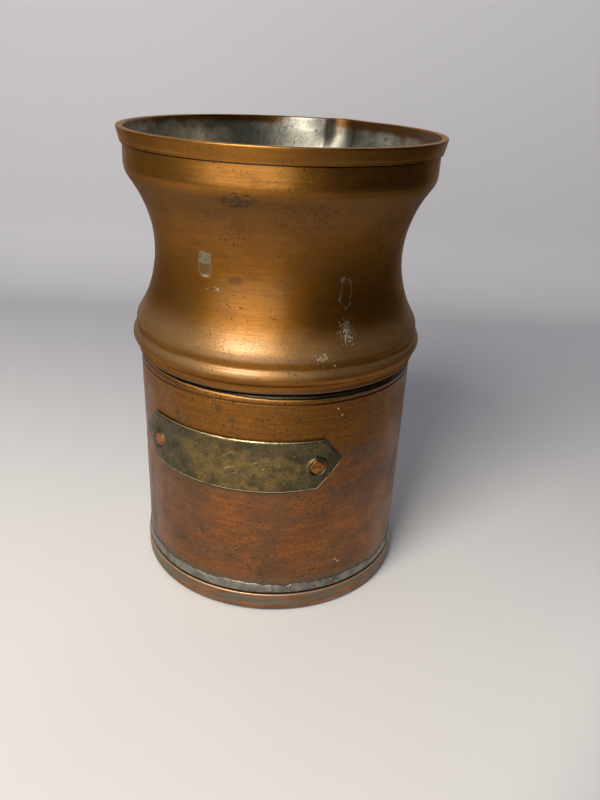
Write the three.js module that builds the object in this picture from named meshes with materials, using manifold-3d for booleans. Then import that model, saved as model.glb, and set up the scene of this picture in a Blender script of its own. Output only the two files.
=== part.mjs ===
// A sheet-copper pot: a straight can with a waisted neck, a hooped mouth and a brass strip riveted on.
// Millimetres, +Z up. The origin is the centre of the underside. The strip faces -Y, and the pouring
// lip is pushed out near +Y. Angles round the pot start at the front and grow towards +X.
import * as THREE from 'three';
import { mergeVertices } from 'three/addons/utils/BufferGeometryUtils.js';
import Module from 'manifold-3d';

// Facets round the pot and round a rivet, and steps along the arcs of a profile
const ROUND_FACETS = 64;
const RIVET_FACETS = 20;
const CORNER_STEPS = 4;
const BEAD_STEPS = 6;
const WAIST_STEPS = 8;

// Base pan: a disc with its edge turned up outside the can
const PAN_SHEET = 0.7;
const PAN_HEIGHT = 7.1;
const PAN_EDGE_ROUND = 1.5;

// Can: rolled sheet, a little wider at the top, turned in to a collar that the neck slips over
const CAN_SHEET = 0.9;
const CAN_FOOT_RADIUS = 45.5;
const CAN_TAPER = 0.8;
const CAN_HEIGHT = 76.8;
const CAN_SHOULDER_RISE = 2.4;
const CAN_SHOULDER_TURN_IN = 1.4;
const CAN_COLLAR_HEIGHT = 6.1;

// Neck: skirt, bead, groove, lower shoulder, waist, upper shoulder and upright collar
const NECK_SHEET = 0.9;
const SKIRT_GAP = 0.9;
const SKIRT_TO_BEAD = 5.0;
const BEAD_OUT = 1.7;
const BEAD_ARC = 2.9;
const GROOVE_DEPTH = 0.1;
const GROOVE_BEVEL = 0.8;
const SHOULDER_OUT = 0.4;
const BEAD_TO_SHOULDER = 4.5;
const LOWER_SHOULDER_ARC = 5.8;
const WAIST_DEPTH = 6.7;
const WAIST_ARC = 38.4;
const MOUTH_SPREAD = 8.8;
const UPPER_SHOULDER_ARC = 7.7;
const NECK_COLLAR_HEIGHT = 5.5;

// Rim band: a hoop that tapers downwards, on the mouth's last flare
const BAND_HEIGHT = 4.7;
const BAND_FOOT_SHEET = 0.6;
const BAND_TOP_SHEET = 1.0;
const BAND_TOP_ROUND = 0.3;
const MOUTH_FLARE = 0.6;

// Pouring lip
const LIP_ANGLE = THREE.MathUtils.degToRad(172);
const LIP_REACH = 3.6;
const LIP_HALF_WIDTH = 7.5;
const LIP_DEPTH = 15;

// Solder and braze
const NECK_SOLDER_FILM = 1.2;
const NECK_SOLDER_DROP = 0.5;
const BASE_SOLDER_HEIGHT = 4.3;
const BASE_SOLDER_FOOT = 0.4;
const BASE_SOLDER_TOP = 0.15;
const SEAM_WIDTH = 2.2;
const SEAM_PROUD = 0.3;
const SEAM_END_GAP = 0.3;

// Brass strip and its rivets, with lengths measured round the can
const PLATE_SHEET = 1.0;
const PLATE_HEIGHT = 17.4;
const PLATE_BELOW_CAN_TOP = 12.5;
const PLATE_LENGTH = 76.2;
const PLATE_UPPER_LENGTH = 63;
const PLATE_LOWER_LENGTH = 59;
const PLATE_TIP_RISE = 1.4;
const PLATE_TO_LEFT = 0.9;
const RIVET_SPACING = 56.4;
const RIVET_BELOW_MIDDLE = 0.3;
const RIVET_RADIUS = 2.45;
const RIVET_PROUD = 0.15;
const TAIL_RADIUS = 3.7;
const TAIL_SHEET = 0.7;
const BOSS_HEIGHT = 0.6;
const BOSS_WALL = 0.4;
const BOSS_SLOPE = 0.4;

// Clearances
const SEAT_FIT = 0.05;
const PLATE_FIT = 0.15;
const RIVET_FIT = 0.1;

// Radii and heights that follow from them
const canFoot = PAN_SHEET;
const canTop = canFoot + CAN_HEIGHT;
const canTopRadius = CAN_FOOT_RADIUS + CAN_TAPER;
const canShoulderTop = canTop + CAN_SHOULDER_RISE;
const canCollarRadius = canTopRadius - CAN_SHOULDER_TURN_IN;
const skirtRadius = canCollarRadius + NECK_SOLDER_FILM + NECK_SHEET;
const skirtFoot = canShoulderTop + SKIRT_GAP;
const beadHeight = skirtFoot + SKIRT_TO_BEAD;
const beadCentreRadius = skirtRadius + BEAD_OUT - BEAD_ARC;
const lowerShoulderRadius = skirtRadius + SHOULDER_OUT;
const lowerShoulderHeight = beadHeight + BEAD_TO_SHOULDER;
const waistRadius = lowerShoulderRadius - WAIST_DEPTH;
const waistHeight = lowerShoulderHeight + tangentRise(LOWER_SHOULDER_ARC, WAIST_DEPTH);
const collarRadius = waistRadius + MOUTH_SPREAD;
const upperShoulderHeight = waistHeight + tangentRise(UPPER_SHOULDER_ARC, MOUTH_SPREAD);
const bandFoot = upperShoulderHeight + NECK_COLLAR_HEIGHT;
const mouthTop = bandFoot + BAND_HEIGHT;
const mouthRadius = collarRadius + MOUTH_FLARE;
const plateTop = canTop - PLATE_BELOW_CAN_TOP;
const plateMiddle = plateTop - PLATE_HEIGHT / 2;
const plateRadius = canRadiusAt(plateMiddle) + PLATE_FIT;
const plateFace = plateRadius + PLATE_SHEET;
const rivetAngle = RIVET_SPACING / 2 / plateFace;
const rivetHeight = plateMiddle - RIVET_BELOW_MIDDLE;

// Height from a shoulder's centre to the waist, where the shoulder's arc runs smoothly into the waist's
function tangentRise(shoulderArc, depth) {
  const reach = WAIST_ARC + shoulderArc;
  return Math.sqrt(reach ** 2 - (reach - depth) ** 2);
}

// The can's outside radius at a height
function canRadiusAt(height) {
  return CAN_FOOT_RADIUS + CAN_TAPER * (height - canFoot) / CAN_HEIGHT;
}

// A corner of a profile: radius and height
function corner(radius, height) {
  return new THREE.Vector2(radius, height);
}

// Points along an arc of a profile, both ends included
function arc(radius, height, size, fromTurn, toTurn, steps) {
  return Array.from({ length: steps + 1 }, (_, step) => {
    const turn = fromTurn + (toTurn - fromTurn) * step / steps;
    return corner(radius + size * Math.cos(turn), height + size * Math.sin(turn));
  });
}

// Turns a profile, taken anticlockwise, round the pot's axis. A ring's profile closes on itself.
function turned(profile) {
  const onAxis = profile[0].x === 0;
  const outline = onAxis ? profile : [...profile, profile[0]];
  return new THREE.LatheGeometry(outline, ROUND_FACETS).rotateX(Math.PI / 2);
}

// Boolean work
const wasm = await Module();
wasm.setup();

function toSolid(geometry) {
  const bare = geometry.clone();
  bare.deleteAttribute('normal');
  bare.deleteAttribute('uv');
  const merged = mergeVertices(bare);
  return new wasm.Manifold(new wasm.Mesh({
    numProp: 3,
    vertProperties: new Float32Array(merged.attributes.position.array),
    triVerts: new Uint32Array(merged.index.array),
  }));
}

function toGeometry(solid) {
  const mesh = solid.getMesh();
  const geometry = new THREE.BufferGeometry();
  geometry.setAttribute('position', new THREE.BufferAttribute(new Float32Array(mesh.vertProperties), 3));
  geometry.setIndex(new THREE.BufferAttribute(new Uint32Array(mesh.triVerts), 1));
  geometry.computeVertexNormals();
  return geometry;
}

// A round bar that lies along the radius at an angle round the pot, between two distances from the axis
function radialBar(angle, height, from, to, innerSize, outerSize = innerSize) {
  const bar = new THREE.CylinderGeometry(innerSize, outerSize, to - from, RIVET_FACETS);
  bar.translate(0, -(from + to) / 2, height);
  bar.rotateZ(angle);
  return toSolid(bar);
}

// The holes that both rivets need, from well inside the can's wall to well outside the strip
function rivetHoles() {
  const size = RIVET_RADIUS + RIVET_FIT;
  const inside = CAN_FOOT_RADIUS - 3 * CAN_SHEET;
  const outside = plateFace + 2 * BOSS_HEIGHT;
  const left = radialBar(-rivetAngle, rivetHeight, inside, outside, size);
  return left.add(radialBar(rivetAngle, rivetHeight, inside, outside, size));
}

// Pushes the pouring lip out: nothing at its foot, all of its reach from the band's lower edge up
function pushLipOut(geometry) {
  const position = geometry.attributes.position;
  const foot = mouthTop - LIP_DEPTH;
  for (let i = 0; i < position.count; i += 1) {
    const [x, y, z] = [position.getX(i), position.getY(i), position.getZ(i)];
    const angle = Math.atan2(x, -y);
    const away = THREE.MathUtils.euclideanModulo(angle - LIP_ANGLE + Math.PI, 2 * Math.PI) - Math.PI;
    const spread = Math.exp(-((away * collarRadius / LIP_HALF_WIDTH) ** 2));
    const push = LIP_REACH * spread * THREE.MathUtils.smoothstep(z, foot, bandFoot);
    const radius = Math.hypot(x, y);
    position.setXY(i, x * (radius + push) / radius, y * (radius + push) / radius);
  }
  return geometry;
}

function panGeometry() {
  const flangeFoot = CAN_FOOT_RADIUS + SEAT_FIT;
  const flangeTop = canRadiusAt(PAN_HEIGHT) + SEAT_FIT;
  const roundCentre = flangeFoot + PAN_SHEET - PAN_EDGE_ROUND;
  return turned([
    corner(0, 0),
    ...arc(roundCentre, PAN_EDGE_ROUND, PAN_EDGE_ROUND, -Math.PI / 2, 0, CORNER_STEPS),
    corner(flangeTop + PAN_SHEET, PAN_HEIGHT),
    corner(flangeTop, PAN_HEIGHT),
    corner(flangeFoot, PAN_SHEET),
    corner(0, PAN_SHEET),
  ]);
}

// One surface of the can, set in from the outside: its wall, its turned-in shoulder and its collar
function canSurface(inset) {
  const quarter = arc(0, 0, 1, 0, Math.PI / 2, CORNER_STEPS);
  const shoulder = quarter.map(({ x, y }) => corner(
    canCollarRadius - inset + CAN_SHOULDER_TURN_IN * x,
    canTop + (CAN_SHOULDER_RISE - inset) * y,
  ));
  return [
    corner(CAN_FOOT_RADIUS - inset, canFoot),
    ...shoulder,
    corner(canCollarRadius - inset, canShoulderTop + CAN_COLLAR_HEIGHT),
  ];
}

function canGeometry() {
  const wall = turned([...canSurface(0), ...canSurface(CAN_SHEET).reverse()]);
  return toGeometry(toSolid(wall).subtract(rivetHoles()));
}

// One surface of the neck, set in from the outside, from the skirt's foot up to the mouth
function neckSurface(inset) {
  const skirtTurn = -Math.acos((skirtRadius - beadCentreRadius) / BEAD_ARC);
  const grooveRadius = lowerShoulderRadius - GROOVE_DEPTH;
  const grooveTurn = Math.acos((grooveRadius - beadCentreRadius) / BEAD_ARC);
  const grooveHeight = beadHeight + BEAD_ARC * Math.sin(grooveTurn);
  const lowerReach = WAIST_ARC + LOWER_SHOULDER_ARC;
  const upperReach = WAIST_ARC + UPPER_SHOULDER_ARC;
  const lowerTurn = Math.acos((lowerReach - WAIST_DEPTH) / lowerReach);
  const upperTurn = Math.acos((upperReach - MOUTH_SPREAD) / upperReach);
  const waistCentre = waistRadius + WAIST_ARC;
  return [
    corner(skirtRadius - inset, skirtFoot),
    corner(skirtRadius - inset, beadHeight + BEAD_ARC * Math.sin(skirtTurn)),
    ...arc(beadCentreRadius, beadHeight, BEAD_ARC - inset, skirtTurn, grooveTurn, BEAD_STEPS).slice(1),
    corner(lowerShoulderRadius - inset, grooveHeight + GROOVE_BEVEL),
    ...arc(lowerShoulderRadius - LOWER_SHOULDER_ARC, lowerShoulderHeight,
      LOWER_SHOULDER_ARC - inset, 0, lowerTurn, CORNER_STEPS),
    ...arc(waistCentre, waistHeight, WAIST_ARC + inset,
      Math.PI + lowerTurn, Math.PI - upperTurn, WAIST_STEPS).slice(1, -1),
    ...arc(collarRadius - UPPER_SHOULDER_ARC, upperShoulderHeight,
      UPPER_SHOULDER_ARC - inset, -upperTurn, 0, CORNER_STEPS),
    corner(collarRadius - inset, bandFoot),
    corner(mouthRadius - inset, mouthTop),
  ];
}

function neckGeometry() {
  return pushLipOut(turned([...neckSurface(0), ...neckSurface(NECK_SHEET).reverse()]));
}

function bandGeometry() {
  const footInside = collarRadius + SEAT_FIT;
  const topInside = mouthRadius + SEAT_FIT;
  const outside = topInside + BAND_TOP_SHEET;
  return pushLipOut(turned([
    corner(footInside, bandFoot),
    corner(footInside + BAND_FOOT_SHEET, bandFoot),
    corner(outside, mouthTop - BAND_TOP_ROUND),
    corner(outside - BAND_TOP_ROUND, mouthTop),
    corner(topInside, mouthTop),
  ]));
}

// The solder in the joint fills the space between the can's collar and the neck's skirt
function neckSolderGeometry() {
  const skirtInside = skirtRadius - NECK_SHEET;
  const foot = skirtFoot - NECK_SOLDER_DROP;
  const top = beadHeight - BEAD_ARC + SEAT_FIT;
  return turned([
    corner(canCollarRadius, foot),
    corner(skirtInside, foot),
    corner(skirtInside, top),
    corner(canCollarRadius, top),
  ]);
}

// The solder above the pan: a thin band that feathers out up the can
function baseSolderGeometry() {
  const foot = PAN_HEIGHT + SEAT_FIT;
  const top = foot + BASE_SOLDER_HEIGHT;
  const [footRadius, topRadius] = [foot, top].map((height) => canRadiusAt(height) + SEAT_FIT);
  return turned([
    corner(footRadius, foot),
    corner(footRadius + BASE_SOLDER_FOOT, foot),
    corner(topRadius + BASE_SOLDER_TOP, top),
    corner(topRadius, top),
  ]);
}

// A sleeve that follows the can's taper, from which the strip and the side seam are cut
function sleeve(foot, top, clearance, sheet) {
  const [footRadius, topRadius] = [foot, top].map((height) => canRadiusAt(height) + clearance);
  return toSolid(turned([
    corner(footRadius, foot),
    corner(footRadius + sheet, foot),
    corner(topRadius + sheet, top),
    corner(topRadius, top),
  ]));
}

function sideSeamGeometry() {
  const foot = PAN_HEIGHT + BASE_SOLDER_HEIGHT + SEAM_END_GAP;
  const height = canTop - SEAM_END_GAP - foot;
  const cutter = new THREE.BoxGeometry(SEAM_WIDTH, canTopRadius, height);
  cutter.translate(0, canTopRadius, foot + height / 2);
  return toGeometry(sleeve(foot, foot + height, SEAT_FIT, SEAM_PROUD).intersect(toSolid(cutter)));
}

// The strip's outline seen from the front, with its lengths taken round the can. It was cut by eye: its
// upper edge is longer than its lower one, its points are above the middle and it sits a little to the left.
function plateOutline() {
  const across = (along) => plateFace * Math.sin((along - PLATE_TO_LEFT) / plateFace);
  const bottom = plateTop - PLATE_HEIGHT;
  const tipHeight = plateMiddle + PLATE_TIP_RISE;
  return new THREE.Shape([
    corner(across(-PLATE_LOWER_LENGTH / 2), bottom),
    corner(across(PLATE_LOWER_LENGTH / 2), bottom),
    corner(across(PLATE_LENGTH / 2), tipHeight),
    corner(across(PLATE_UPPER_LENGTH / 2), plateTop),
    corner(across(-PLATE_UPPER_LENGTH / 2), plateTop),
    corner(across(-PLATE_LENGTH / 2), tipHeight),
  ]);
}

// The strip, with the low ring of brass that stands up round each rivet
function plateGeometry() {
  const prism = new THREE.ExtrudeGeometry(plateOutline(), {
    depth: 2 * plateFace,
    bevelEnabled: false,
  }).rotateX(Math.PI / 2);
  const blank = sleeve(plateTop - PLATE_HEIGHT, plateTop, PLATE_FIT, PLATE_SHEET).intersect(toSolid(prism));
  const bossTop = RIVET_RADIUS + RIVET_FIT + BOSS_WALL;
  const [from, to] = [plateFace - PLATE_SHEET / 2, plateFace + BOSS_HEIGHT];
  const bosses = [-rivetAngle, rivetAngle].map((angle) => (
    radialBar(angle, rivetHeight, from, to, bossTop + BOSS_SLOPE, bossTop)));
  return toGeometry(blank.add(bosses[0]).add(bosses[1]).subtract(rivetHoles()));
}

// A rivet on its own axis, which is local Y: its tail is inside the can and its face points to -Y
function rivetGeometry() {
  const wallInside = (canRadiusAt(rivetHeight) - CAN_SHEET) * Math.cos(Math.PI / ROUND_FACETS);
  const tailSeat = Math.sqrt(wallInside ** 2 - TAIL_RADIUS ** 2) - RIVET_FIT;
  const face = plateFace + BOSS_HEIGHT + RIVET_PROUD;
  const profile = [
    corner(0, -face),
    corner(RIVET_RADIUS - RIVET_PROUD, -face),
    corner(RIVET_RADIUS, RIVET_PROUD - face),
    corner(RIVET_RADIUS, -tailSeat),
    corner(TAIL_RADIUS, -tailSeat),
    corner(TAIL_RADIUS - TAIL_SHEET / 2, TAIL_SHEET - tailSeat),
    corner(0, TAIL_SHEET - tailSeat),
  ];
  return new THREE.LatheGeometry(profile, RIVET_FACETS);
}

// Finishes
const finish = {
  neckCopper: { color: 0x8a5a2b, roughness: 0.34, metalness: 1 },
  canCopper: { color: 0x7d4a28, roughness: 0.42, metalness: 1 },
  rimCopper: { color: 0x8f6233, roughness: 0.36, metalness: 1 },
  panCopper: { color: 0x8c5b42, roughness: 0.45, metalness: 1 },
  rivetCopper: { color: 0x8b4a20, roughness: 0.4, metalness: 1 },
  tarnishedBrass: { color: 0x5d5236, roughness: 0.45, metalness: 1 },
  solder: { color: 0x8f8e88, roughness: 0.5, metalness: 1 },
  braze: { color: 0x8d7440, roughness: 0.45, metalness: 1 },
};

function piece(name, geometry, look) {
  const mesh = new THREE.Mesh(geometry, new THREE.MeshStandardMaterial(look));
  mesh.name = name;
  return mesh;
}

// A rivet stands at its height, turned round the pot to its angle
function rivet(name, angle) {
  const place = new THREE.Group();
  const body = piece(name, rivetGeometry(), finish.rivetCopper);
  body.position.z = rivetHeight;
  place.rotation.z = angle;
  place.add(body);
  return place;
}

const pot = new THREE.Group();
pot.add(
  piece('base_pan', panGeometry(), finish.panCopper),
  piece('base_solder', baseSolderGeometry(), finish.solder),
  piece('can_wall', canGeometry(), finish.canCopper),
  piece('side_seam', sideSeamGeometry(), finish.braze),
  piece('neck_solder', neckSolderGeometry(), finish.solder),
  piece('neck_shell', neckGeometry(), finish.neckCopper),
  piece('rim_band', bandGeometry(), finish.rimCopper),
  piece('front_plate', plateGeometry(), finish.tarnishedBrass),
  rivet('plate_rivet_left', -rivetAngle),
  rivet('plate_rivet_right', rivetAngle),
);

export default pot;
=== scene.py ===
# %% [markdown]
# # A sheet-copper pot with a flared mouth
# This lesson dresses a small kitchen pot: a straight can of red copper, a waisted neck of golden copper
# spun to shape, a hoop round the mouth, a brass strip held by two rivets, and grey solder at the joints.
# The construction comes first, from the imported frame. Everything made here is set out from its boxes, so
# each new piece lands where the real one is.

# %% Load the frame
import math
import bpy
from mathutils import Matrix, Vector


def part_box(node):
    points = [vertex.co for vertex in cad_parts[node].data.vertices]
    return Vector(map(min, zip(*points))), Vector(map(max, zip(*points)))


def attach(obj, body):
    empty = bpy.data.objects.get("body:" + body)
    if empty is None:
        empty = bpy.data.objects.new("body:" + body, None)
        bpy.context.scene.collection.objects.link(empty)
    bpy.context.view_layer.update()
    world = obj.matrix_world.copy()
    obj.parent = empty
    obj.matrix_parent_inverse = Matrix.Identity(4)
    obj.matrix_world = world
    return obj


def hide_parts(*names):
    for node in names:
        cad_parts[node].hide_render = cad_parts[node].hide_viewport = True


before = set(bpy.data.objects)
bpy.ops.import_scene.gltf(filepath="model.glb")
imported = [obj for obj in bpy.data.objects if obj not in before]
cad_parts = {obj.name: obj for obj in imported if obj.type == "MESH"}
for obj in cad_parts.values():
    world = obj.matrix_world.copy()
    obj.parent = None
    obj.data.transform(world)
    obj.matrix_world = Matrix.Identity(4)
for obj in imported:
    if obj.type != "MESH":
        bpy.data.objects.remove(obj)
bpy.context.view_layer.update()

MM = 0.001


def foot_of(node):
    """The lowest height of a node, in millimetres."""
    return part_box(node)[0].z / MM


def top_of(node):
    """The highest point of a node, in millimetres."""
    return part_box(node)[1].z / MM


def radius_of(node):
    """How far a round node reaches along X, in millimetres."""
    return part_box(node)[1].x / MM


print("pot height", round(top_of("neck_shell"), 2), "mm, can radius", round(radius_of("can_wall"), 2), "mm")

# %% [markdown]
# ## The camera
# The photograph looks down at the pot from a little to its right, from close by, so its upright sides lean
# together towards the foot. A phone's main lens is wide, about 34 mm on a full frame. The camera is placed by
# its angle round the pot, its distance from the pot's axis and its height, and then turned and tipped.

# %% Camera
CAMERA_ROUND = math.radians(17.05)
CAMERA_AWAY = 250.7
CAMERA_HEIGHT = 172.75
CAMERA_HEADING = math.radians(14.94)
CAMERA_DOWN = math.radians(24.57)
CAMERA_ROLL = math.radians(2.74)
CAMERA_LENS = 34.22
FILM_LONG_SIDE = 36

camera_data = bpy.data.cameras.new("camera")
camera_data.sensor_fit = "VERTICAL"
camera_data.sensor_height = FILM_LONG_SIDE
camera_data.sensor_width = FILM_LONG_SIDE
camera_data.lens = CAMERA_LENS
camera = bpy.data.objects.new("camera", camera_data)
bpy.context.scene.collection.objects.link(camera)
bpy.context.scene.camera = camera
stand = Matrix.Translation((CAMERA_AWAY * MM * math.sin(CAMERA_ROUND),
                            -CAMERA_AWAY * MM * math.cos(CAMERA_ROUND), CAMERA_HEIGHT * MM))
camera.matrix_world = (stand @ Matrix.Rotation(CAMERA_HEADING, 4, "Z")
                       @ Matrix.Rotation(math.pi / 2 - CAMERA_DOWN, 4, "X")
                       @ Matrix.Rotation(CAMERA_ROLL, 4, "Z"))
print("camera at", [round(c / MM, 1) for c in camera.matrix_world.translation], "mm")

# %% [markdown]
# ## Small helpers
# Blender's operators act on whatever is selected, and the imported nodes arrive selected, so each step starts
# from nothing selected. A modifier can be added and applied in one go, which leaves plain mesh behind.

# %% Helpers for pieces
def work(piece, kind, **settings):
    """Selects a piece alone, adds a modifier with its settings, and applies it."""
    bpy.ops.object.select_all(action="DESELECT")
    bpy.context.view_layer.objects.active = piece
    piece.select_set(True)
    modifier = piece.modifiers.new(kind.lower(), kind)
    for name, value in settings.items():
        setattr(modifier, name, value)
    bpy.ops.object.modifier_apply(modifier=modifier.name)


def name_piece(name, scale=(1, 1, 1)):
    """Names the piece just added, and applies its scale and place."""
    piece = bpy.context.object
    piece.name = name
    piece.data.name = name
    piece.scale = scale
    bpy.ops.object.transform_apply()
    return piece


def set_down(piece, turn, spot=(0, 0, 0)):
    """Turns a piece, moves it to its spot, and applies both."""
    piece.rotation_euler = turn
    piece.location = spot
    bpy.ops.object.transform_apply()


def share(value, start, end):
    """How far a value has come from its start to its end, kept between 0 and 1."""
    return min(max((value - start) / (end - start), 0), 1)


def report_piece(piece):
    """Prints a piece's size and how many faces it has."""
    size = [round(side / MM, 1) for side in piece.dimensions]
    print(piece.name, size, "mm,", len(piece.data.polygons), "faces")


# %% [markdown]
# A material is a tree of nodes. One function turns the hex code of a paint chart into the linear numbers that
# the renderer adds up, and one adds a node to the tree that its linked inputs come from. It hands back the
# node's output, so nodes can be chained. The last one builds a finish as every finish here is built: layers
# of colour are laid one over another by masks, and then the shader gets its other inputs.

# %% Helpers for finishes
def from_hex(code):
    """An sRGB hex colour as linear red, green, blue and alpha."""
    shares = [int(code[i:i + 2], 16) / 255 for i in (1, 3, 5)]
    return [c / 12.92 if c <= 0.04045 else ((c + 0.055) / 1.055) ** 2.4 for c in shares] + [1]


def fill(node, inputs):
    """Links a node's inputs to sockets, or fills them with plain values."""
    for name, value in inputs.items():
        if isinstance(value, bpy.types.NodeSocket):
            node.id_data.links.new(value, node.inputs[name])
        else:
            node.inputs[name].default_value = value


def add_node(kind, inputs, result=0, tree=None, **settings):
    """Adds a node with its settings and inputs, and returns one of its outputs."""
    if tree is None:
        tree = next(value.id_data for value in inputs.values() if isinstance(value, bpy.types.NodeSocket))
    node = tree.nodes.new("ShaderNode" + kind)
    for name, value in settings.items():
        setattr(node, name, value)
    fill(node, inputs)
    return node.outputs[result]


def every(size):
    """The scale that makes a pattern repeat about every so many millimetres."""
    return 1 / (size * MM)


def fade(value, start, end, unit=1):
    """0 where the value is at its start, 1 at its end, and a smooth change between."""
    return add_node("MapRange", {"Value": value, "From Min": start * unit, "From Max": end * unit},
                    interpolation_type="SMOOTHSTEP")


def both(one, other):
    """The product of two masks."""
    return add_node("Math", {0: one, 1: other}, operation="MULTIPLY")


def between(mask, low, high):
    """A value that goes from low to high by a mask."""
    return add_node("Math", {0: mask, 1: high - low, 2: low}, operation="MULTIPLY_ADD")


def towards(place, angle, rise=0):
    """How far a place or a direction reaches towards an angle round the pot."""
    way = (math.sin(angle), -math.cos(angle), rise)
    return add_node("VectorMath", {0: place, 1: way}, "Value", operation="DOT_PRODUCT")


def lay(mask, under, over, strength=1.0):
    """Lays one colour over another by a mask; either may be a hex code."""
    tones = [from_hex(tone) if isinstance(tone, str) else tone for tone in (under, over)]
    return add_node("Mix", {0: both(mask, strength), 6: tones[0], 7: tones[1]}, 2, data_type="RGBA")


def new_finish(name):
    """A new material, and the place on the piece in metres."""
    finish = bpy.data.materials.new(name)
    finish.use_nodes = True
    return finish, add_node("TexCoord", {}, "Object", finish.node_tree)


def complete(finish, tone, layers, inputs):
    """Lays layers over a first tone, each a mask, a colour and a strength, and sets the shader."""
    for mask, colour, strength in layers:
        tone = lay(mask, tone, colour, strength)
    fill(finish.node_tree.nodes["Principled BSDF"], {"Base Color": tone, **inputs})
    return finish


# %% [markdown]
# ## Floor, backdrop and light
# The pot stands on white paper that sweeps up behind it. A plane with its far edge extruded up, and the fold
# rounded by a bevel, makes that sweep. Copper is a mirror with a colour: it shows its surroundings, so they
# are part of its look. Its upright sides, seen from above, show the paper in front, and the paper's far side
# on the right is dim. The paper's colour carries that as painted shade: it also greys behind the pot and far
# from it, and darkens where the pot's shadow falls to its right. That gives the pot its dark side, which
# makes the form read.

# %% Floor and backdrop
SWEEP_BEHIND = 335
SWEEP_ROUND = 60
PAPER_HALF_WIDTH = 1500
PAPER_IN_FRONT = 520
BACKDROP_HEIGHT = 1200
PAINTED_LIGHT_CENTRE = (0, 0.2, 0)
PAINTED_LIGHT_TO = 330
PAINTED_SHADE_FROM = 580
SHADE_SIDE = math.radians(65)
SHADE_FROM = 120
SHADE_TO = 195
DIM_FROM = 150
DIM_TO = 420
REAR_SHADE_FROM = -90
REAR_SHADE_TO = 230


def paper_finish():
    """White paper: a soft, dull white, with painted shade that greys it behind the pot and far from it,
    darkens it where the pot's shadow falls, and dims it far to its right.
    """
    finish, place = new_finish("white_paper")
    flat = add_node("VectorMath", {0: place, 1: (1, 1, 0)}, operation="MULTIPLY")
    away = add_node("VectorMath", {0: flat, 1: PAINTED_LIGHT_CENTRE}, "Value", operation="DISTANCE")
    behind = add_node("SeparateXYZ", {0: place}, "Y")
    across = add_node("SeparateXYZ", {0: place}, "X")
    layers = [
        (add_node("TexNoise", {"Vector": place, "Scale": every(90), "Detail": 3}), "#E9E7E4", 1),
        # Painted shade: greyer behind, far away, where the pot's shadow falls, and dim far to the right.
        (fade(behind, REAR_SHADE_FROM, REAR_SHADE_TO, MM), "#BDBCC0", 1),
        (fade(away, PAINTED_LIGHT_TO, PAINTED_SHADE_FROM, MM), "#959597", 1),
        (fade(towards(place, SHADE_SIDE), SHADE_FROM, SHADE_TO, MM), "#888C98", 1),
        (fade(across, DIM_FROM, DIM_TO, MM), "#555A68", 1),
    ]
    return complete(finish, "#E1DFDC", layers, {"Roughness": 0.7, "Specular IOR Level": 0.3})


bpy.ops.object.select_all(action="DESELECT")
bpy.ops.mesh.primitive_plane_add(size=1, location=(0, (SWEEP_BEHIND - PAPER_IN_FRONT) / 2 * MM, 0))
paper = name_piece("paper_sweep", (2 * PAPER_HALF_WIDTH * MM, (PAPER_IN_FRONT + SWEEP_BEHIND) * MM, 1))
bpy.ops.object.mode_set(mode="EDIT")
bpy.ops.mesh.select_all(action="DESELECT")
bpy.ops.object.mode_set(mode="OBJECT")
for edge in paper.data.edges:
    edge.select = all(paper.data.vertices[v].co.y > 0 for v in edge.vertices)
bpy.ops.object.mode_set(mode="EDIT")
bpy.ops.mesh.extrude_region_move(TRANSFORM_OT_translate={"value": (0, 0, BACKDROP_HEIGHT * MM)})
bpy.ops.object.mode_set(mode="OBJECT")
work(paper, "BEVEL", width=SWEEP_ROUND * MM, segments=12, limit_method="ANGLE")
set_down(paper, (0, 0, CAMERA_HEADING))
bpy.ops.object.shade_smooth()
paper.data.materials.append(paper_finish())
print("the paper sweeps up", SWEEP_BEHIND - SWEEP_ROUND, "to", SWEEP_BEHIND, "mm behind the pot")

# %% [markdown]
# One large window lights the pot from the left and a little above, warm against the cool light of the room.
# The room is a gradient: pale round the window, nearly dark on the far side. A bright sill lies low in front.

# %% Window light and room
WINDOW_ROUND = math.radians(-29)
WINDOW_UP = math.radians(44)
WINDOW_AWAY = 700
WINDOW_SIDE = 310
WINDOW_POWER = 4.95
WINDOW_AIM = 80
ROOM_ROUND = math.radians(-45)
ROOM_RISE = 0.3
ROOM_DARK, ROOM_PALE = -0.25, 0.95
ROOM_STRENGTH = 2.4
SILL_ROUND = math.radians(-8)
SILL_EDGE, SILL_MIDDLE = 0.78, 0.97

window = bpy.data.lights.new("window", "AREA")
window.shape = "SQUARE"
window.size = WINDOW_SIDE * MM
window.color = from_hex("#FFF8EE")[:3]
window.energy = WINDOW_POWER
window_lamp = bpy.data.objects.new("window", window)
bpy.context.scene.collection.objects.link(window_lamp)
window_turn = CAMERA_ROUND + WINDOW_ROUND
window_way = Vector((math.sin(window_turn) * math.cos(WINDOW_UP),
                     -math.cos(window_turn) * math.cos(WINDOW_UP), math.sin(WINDOW_UP)))
window_lamp.location = Vector((0, 0, WINDOW_AIM * MM)) + window_way * WINDOW_AWAY * MM
window_lamp.rotation_euler = window_way.to_track_quat("Z", "Y").to_euler()

room = bpy.data.worlds.new("room")
bpy.context.scene.world = room
room.use_nodes = True
sight = add_node("TexCoord", {}, "Generated", room.node_tree)
glow = lay(fade(towards(sight, ROOM_ROUND, ROOM_RISE), ROOM_DARK, ROOM_PALE), "#15181F", "#5A616C")
glow = lay(fade(towards(sight, SILL_ROUND), SILL_EDGE, SILL_MIDDLE), glow, "#FFFDF8")
fill(room.node_tree.nodes["Background"], {"Color": glow, "Strength": ROOM_STRENGTH})
bpy.context.scene.view_settings.view_transform = "Standard"
print("window at", [round(c / MM) for c in window_lamp.location], "mm")
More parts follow.
